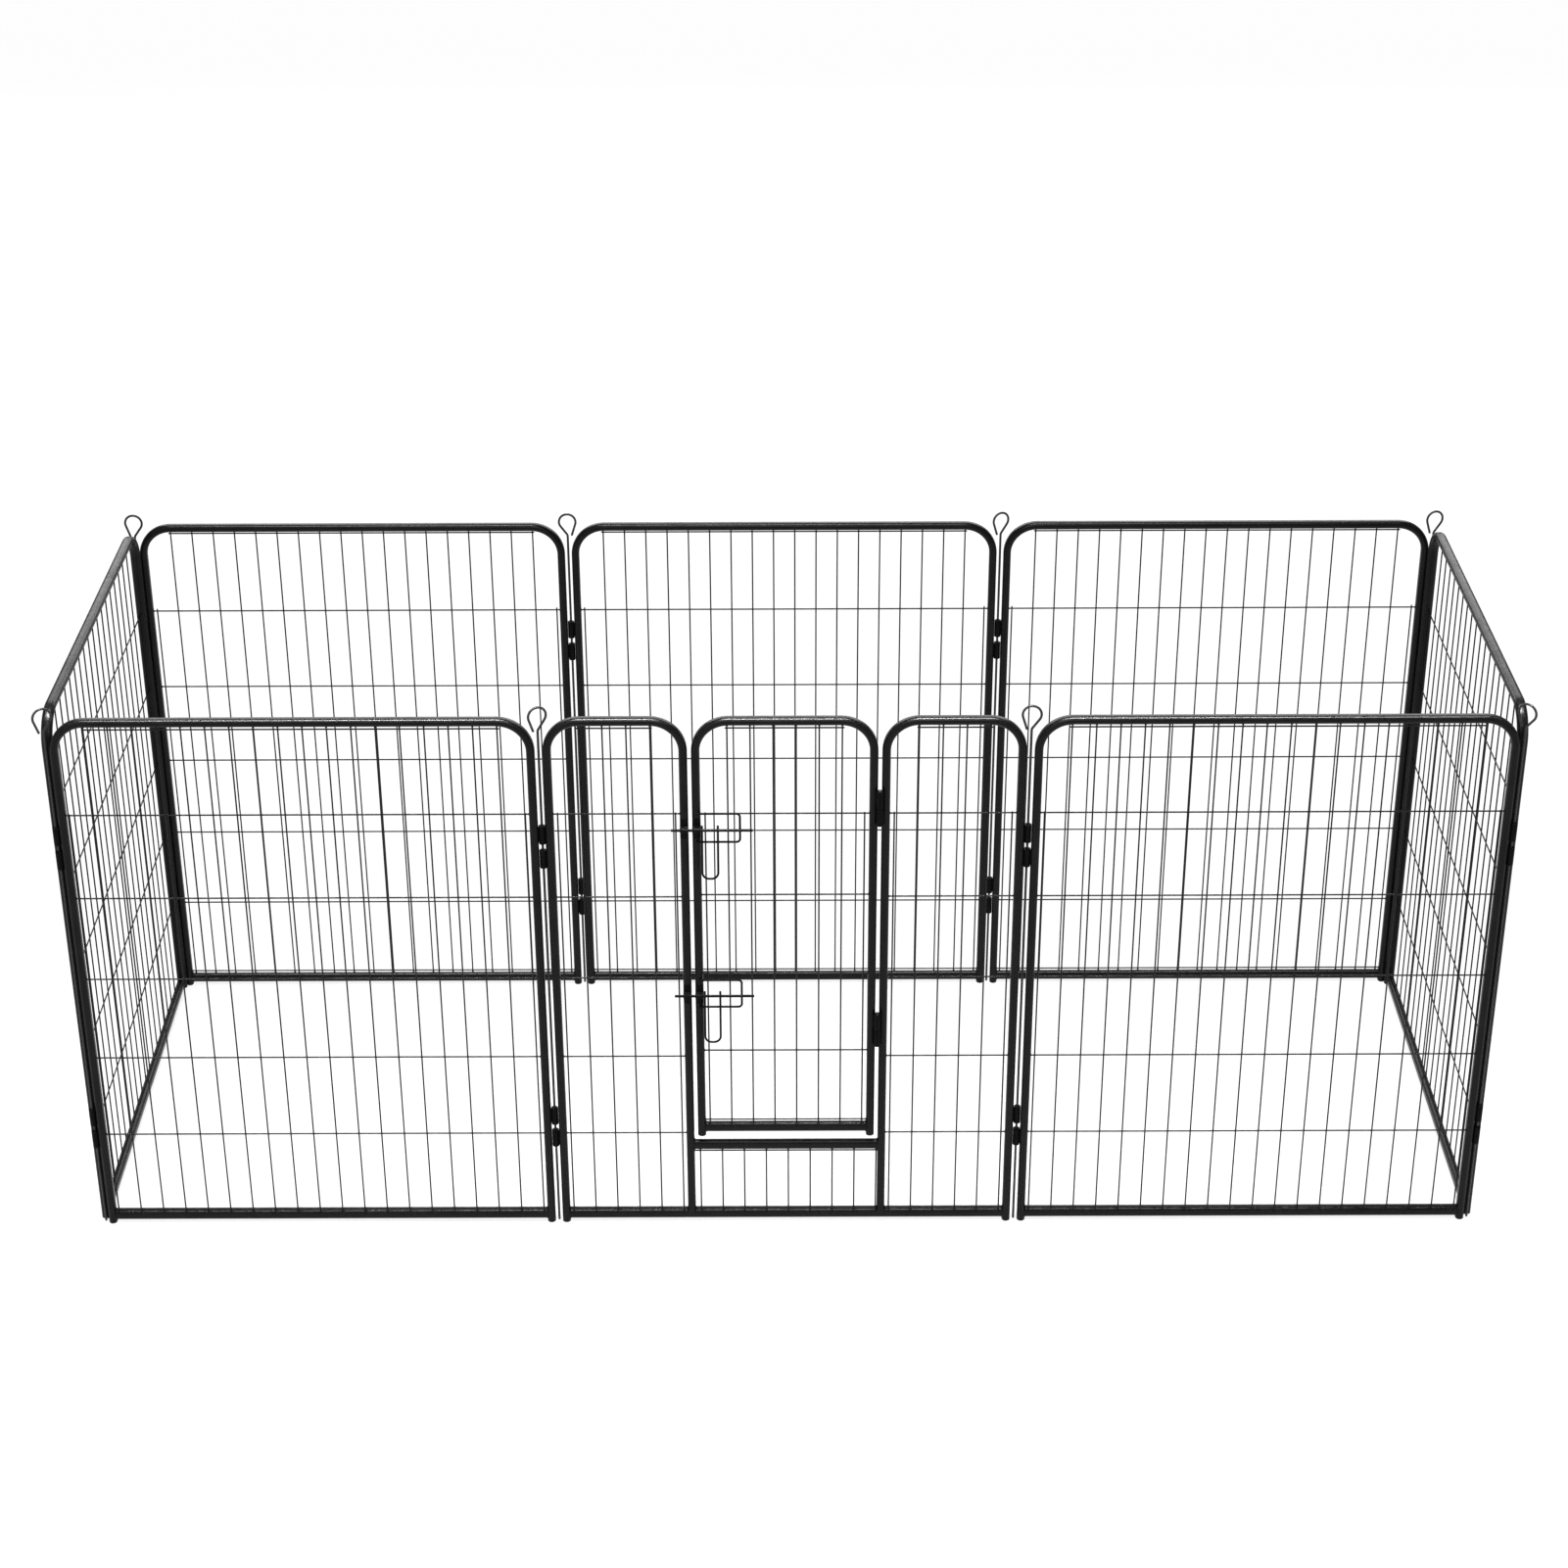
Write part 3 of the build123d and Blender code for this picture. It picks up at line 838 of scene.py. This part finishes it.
def add_plain_panels():
    """The seven panels with no door share one set of meshes."""
    home = place_of(["front_left_frame"], 0)
    meshes = {}
    for part, slot, build in (
        ("frame", "tube_enamel", plain_frame),
        ("mesh", "wire_enamel", wire_mesh),
        ("sleeves", "fitting_enamel", sleeves),
        ("plugs", "foot_plastic", plugs),
    ):
        boxes = solids_of(f"front_left_{part}", home)
        meshes[part] = (slot, finished(f"plain_{part}", slot, build, boxes))
    for panel, turn in plain_turns.items():
        place = place_of([f"{panel}_frame"], turn)
        for part, (slot, mesh) in meshes.items():
            put(f"{panel}_{part}_look", mesh, place, panel, slot, f"{panel}_{part}")


door_tubes = ["door_panel_left_bay_tube", "door_panel_right_bay_tube"]
front = place_of(door_tubes, 0)


def put_front(node, body, slot, build, *facts):
    """Makes a piece of the door panel or the door from the boxes of its CAD node."""
    mesh = finished(node, slot, build, solids_of(node, front), *facts)
    put(f"{node}_look", mesh, front, body, slot, node)


def add_door_panel():
    """The fixed part of the panel that holds the door."""
    body = "door_panel"
    bottom = solids_of("door_panel_bottom_rail", front)[0]
    left = solids_of("door_panel_left_bay_tube", front)[0]
    leg = -left[0].x - tube_radius
    post = -left[1].x + tube_radius
    rail_height = middle_of(bottom).z
    put_front("door_panel_left_bay_tube", body, "tube_enamel", one_tube, (1,), rail_height)
    put_front("door_panel_right_bay_tube", body, "tube_enamel", one_tube, (-1,), rail_height)
    put_front("door_panel_bottom_rail", body, "tube_enamel", one_rail, leg - tube_radius)
    put_front("door_panel_sill_rail", body, "tube_enamel", one_rail, post - tube_radius)
    put_front("door_panel_left_mesh", body, "wire_enamel", wire_mesh)
    put_front("door_panel_right_mesh", body, "wire_enamel", wire_mesh)
    put_front("door_panel_sill_mesh", body, "wire_enamel", wire_mesh, False)
    put_front("door_panel_sleeves", body, "fitting_enamel", sleeves)
    put_front("door_panel_plugs", body, "foot_plastic", plugs)
    axis = middle_of(solids_of("door_hinge_pins", front)[0])
    bore = hinge_pin_radius
    put_front("door_panel_hinge_knuckles", body, "fitting_enamel", knuckles, axis, post, bore)
    put_front("door_hinge_pins", body, "hinge_pin_steel", hinge_pins)
    bolt_y = middle_of(solids_of("upper_bolt_rod", front)[0]).y
    put_front("door_panel_bolt_keepers", body, "fitting_enamel", straps, bolt_y)


def add_door():
    """The door and what is welded to it."""
    body = "door"
    tube = solids_of("door_tube", front)[0]
    leg = tube[1].x - tube_radius
    axis = middle_of(solids_of("door_hinge_pins", front)[0])
    bolt_y = middle_of(solids_of("upper_bolt_rod", front)[0]).y
    put_front("door_tube", body, "tube_enamel", one_tube)
    put_front("door_bottom_rail", body, "tube_enamel", one_rail, leg - tube_radius)
    put_front("door_mesh", body, "wire_enamel", wire_mesh)
    put_front("door_plugs", body, "foot_plastic", plugs)
    bore = hinge_pin_radius + hinge_clearance
    put_front("door_hinge_knuckles", body, "fitting_enamel", knuckles, axis, leg, bore)
    put_front("door_bolt_sleeves", body, "fitting_enamel", straps, bolt_y)
    put_front("door_bolt_guides", body, "fitting_enamel", guides)


def add_bolts():
    for name in ("upper", "lower"):
        spot = middle_of(solids_of(f"{name}_bolt_rod", front)[0])
        put_front(f"{name}_bolt_rod", f"{name}_bolt_rod", "bolt_steel", rod)
        put_front(f"{name}_bolt_handle", f"{name}_bolt_handle", "bolt_steel", handle, spot)


def add_pins():
    """The eight lift-out pins, each turned by its own angle in its sleeves."""
    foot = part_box(pin_names[0])[0].z * 1000
    mesh = finished("lift_pin", "pin_steel", lift_pin, foot)
    middle_panel = front.translation
    next_panel = place_of(["front_left_frame"], 0).translation
    pitch = middle_panel.x - next_panel.x
    for i, (name, turn) in enumerate(zip(pin_names, eye_turns)):
        row, column = divmod(i, 4)
        x = middle_panel.x + pitch * (column - 1.5)
        y = -middle_panel.y if row else middle_panel.y
        place = Matrix.Translation((x, y, 0)) @ Matrix.Rotation(radians(turn), 4, "Z")
        put(f"{name}_look", mesh, place, name, "pin_steel", name)


# ---- Stage, light and camera


def add_floor():
    """A plain white floor, far wider than the view, lit mostly from below by its own glow."""
    size = 30.0
    mesh = bpy.data.meshes.new("floor")
    corners = [(-size, -size, 0), (size, -size, 0), (size, size, 0), (-size, size, 0)]
    mesh.from_pydata(corners, [], [(0, 1, 2, 3)])
    material, shader = material_of("floor_white", (0.12, 0.12, 0.12), 0.8)
    shader.inputs["Specular IOR Level"].default_value = 0.0
    shader.inputs["Emission Color"].default_value = (1, 1, 1, 1)
    shader.inputs["Emission Strength"].default_value = 0.86
    mesh.materials.append(material)
    floor = bpy.data.objects.new("floor", mesh)
    bpy.context.scene.collection.objects.link(floor)


def add_light(name, towards, spread, strength):
    """A broad, even light from one side of the sky, as from a far soft box."""
    lamp = bpy.data.lights.new(name, "SUN")
    lamp.angle = radians(spread)
    lamp.energy = strength
    made = bpy.data.objects.new(name, lamp)
    made.rotation_mode = "QUATERNION"
    made.rotation_quaternion = Vector(towards).to_track_quat("-Z", "Y")
    bpy.context.scene.collection.objects.link(made)


def add_soft_box(name, spot, aim, width, height, power, spread=180.0):
    """A soft box outside the view, which points at aim. A grid can narrow its spread, in degrees."""
    lamp = bpy.data.lights.new(name, "AREA")
    lamp.shape = "RECTANGLE"
    lamp.size = width
    lamp.size_y = height
    lamp.energy = power
    lamp.spread = radians(spread)
    made = bpy.data.objects.new(name, lamp)
    made.location = spot
    made.rotation_mode = "QUATERNION"
    made.rotation_quaternion = (Vector(aim) - Vector(spot)).to_track_quat("-Z", "Y")
    bpy.context.scene.collection.objects.link(made)


def add_world(strength, seen):
    """Even light from all round. The backdrop past the floor is as bright as the floor is."""
    world = bpy.data.worlds.new("studio")
    world.use_nodes = True
    nodes = world.node_tree.nodes
    background = nodes["Background"]
    background.inputs["Color"].default_value = (1, 1, 1, 1)
    rays = nodes.new("ShaderNodeLightPath")
    level = nodes.new("ShaderNodeMix")
    level.inputs["A"].default_value = strength
    level.inputs["B"].default_value = seen
    world.node_tree.links.new(rays.outputs["Is Camera Ray"], level.inputs["Factor"])
    world.node_tree.links.new(level.outputs["Result"], background.inputs["Strength"])
    bpy.context.scene.world = world


def add_camera():
    """A camera in front of the pen and above it, looking down at its middle."""
    pitch = radians(27.832)
    yaw = radians(-0.038)
    roll = radians(-0.2)
    ahead = Vector((sin(yaw) * cos(pitch), cos(yaw) * cos(pitch), -sin(pitch)))
    right = Vector((cos(yaw), -sin(yaw), 0))
    up = right.cross(ahead)
    across = right * cos(roll) + up * sin(roll)
    upward = up * cos(roll) - right * sin(roll)
    lens = bpy.data.cameras.new("camera")
    lens.lens = 70.84
    lens.sensor_width = 36.0
    lens.clip_end = 200.0
    made = bpy.data.objects.new("camera", lens)
    turn = Matrix((across, upward, -ahead)).transposed().to_4x4()
    made.matrix_world = Matrix.Translation((0.0017, -4.9356, 3.2723)) @ turn
    bpy.context.scene.collection.objects.link(made)
    bpy.context.scene.camera = made


add_plain_panels()
add_door_panel()
add_door()
add_bolts()
add_pins()
add_floor()
add_world(strength=0.3, seen=1.05)
add_light("overhead", (0.08, 0.05, -1.0), spread=16.0, strength=2.1)
add_light("fill", (0.5, 1.0, -0.9), spread=60.0, strength=0.5)
add_soft_box("back", (0.0, 6.0, 3.4), (0, 0, 1.0), width=7.5, height=3.0, power=260.0)
add_soft_box("front", (0.0, -2.8, 3.3), (0, -0.4, 0.6), width=1.6, height=1.6, power=30.0)
add_soft_box("strip", (0.0, -0.45, 3.2), (0, -0.45, 0), width=3.6, height=0.4, power=26.0, spread=42.0)
add_camera()
bpy.context.scene.view_settings.view_transform = "Standard"
bpy.context.scene.view_settings.gamma = 0.78
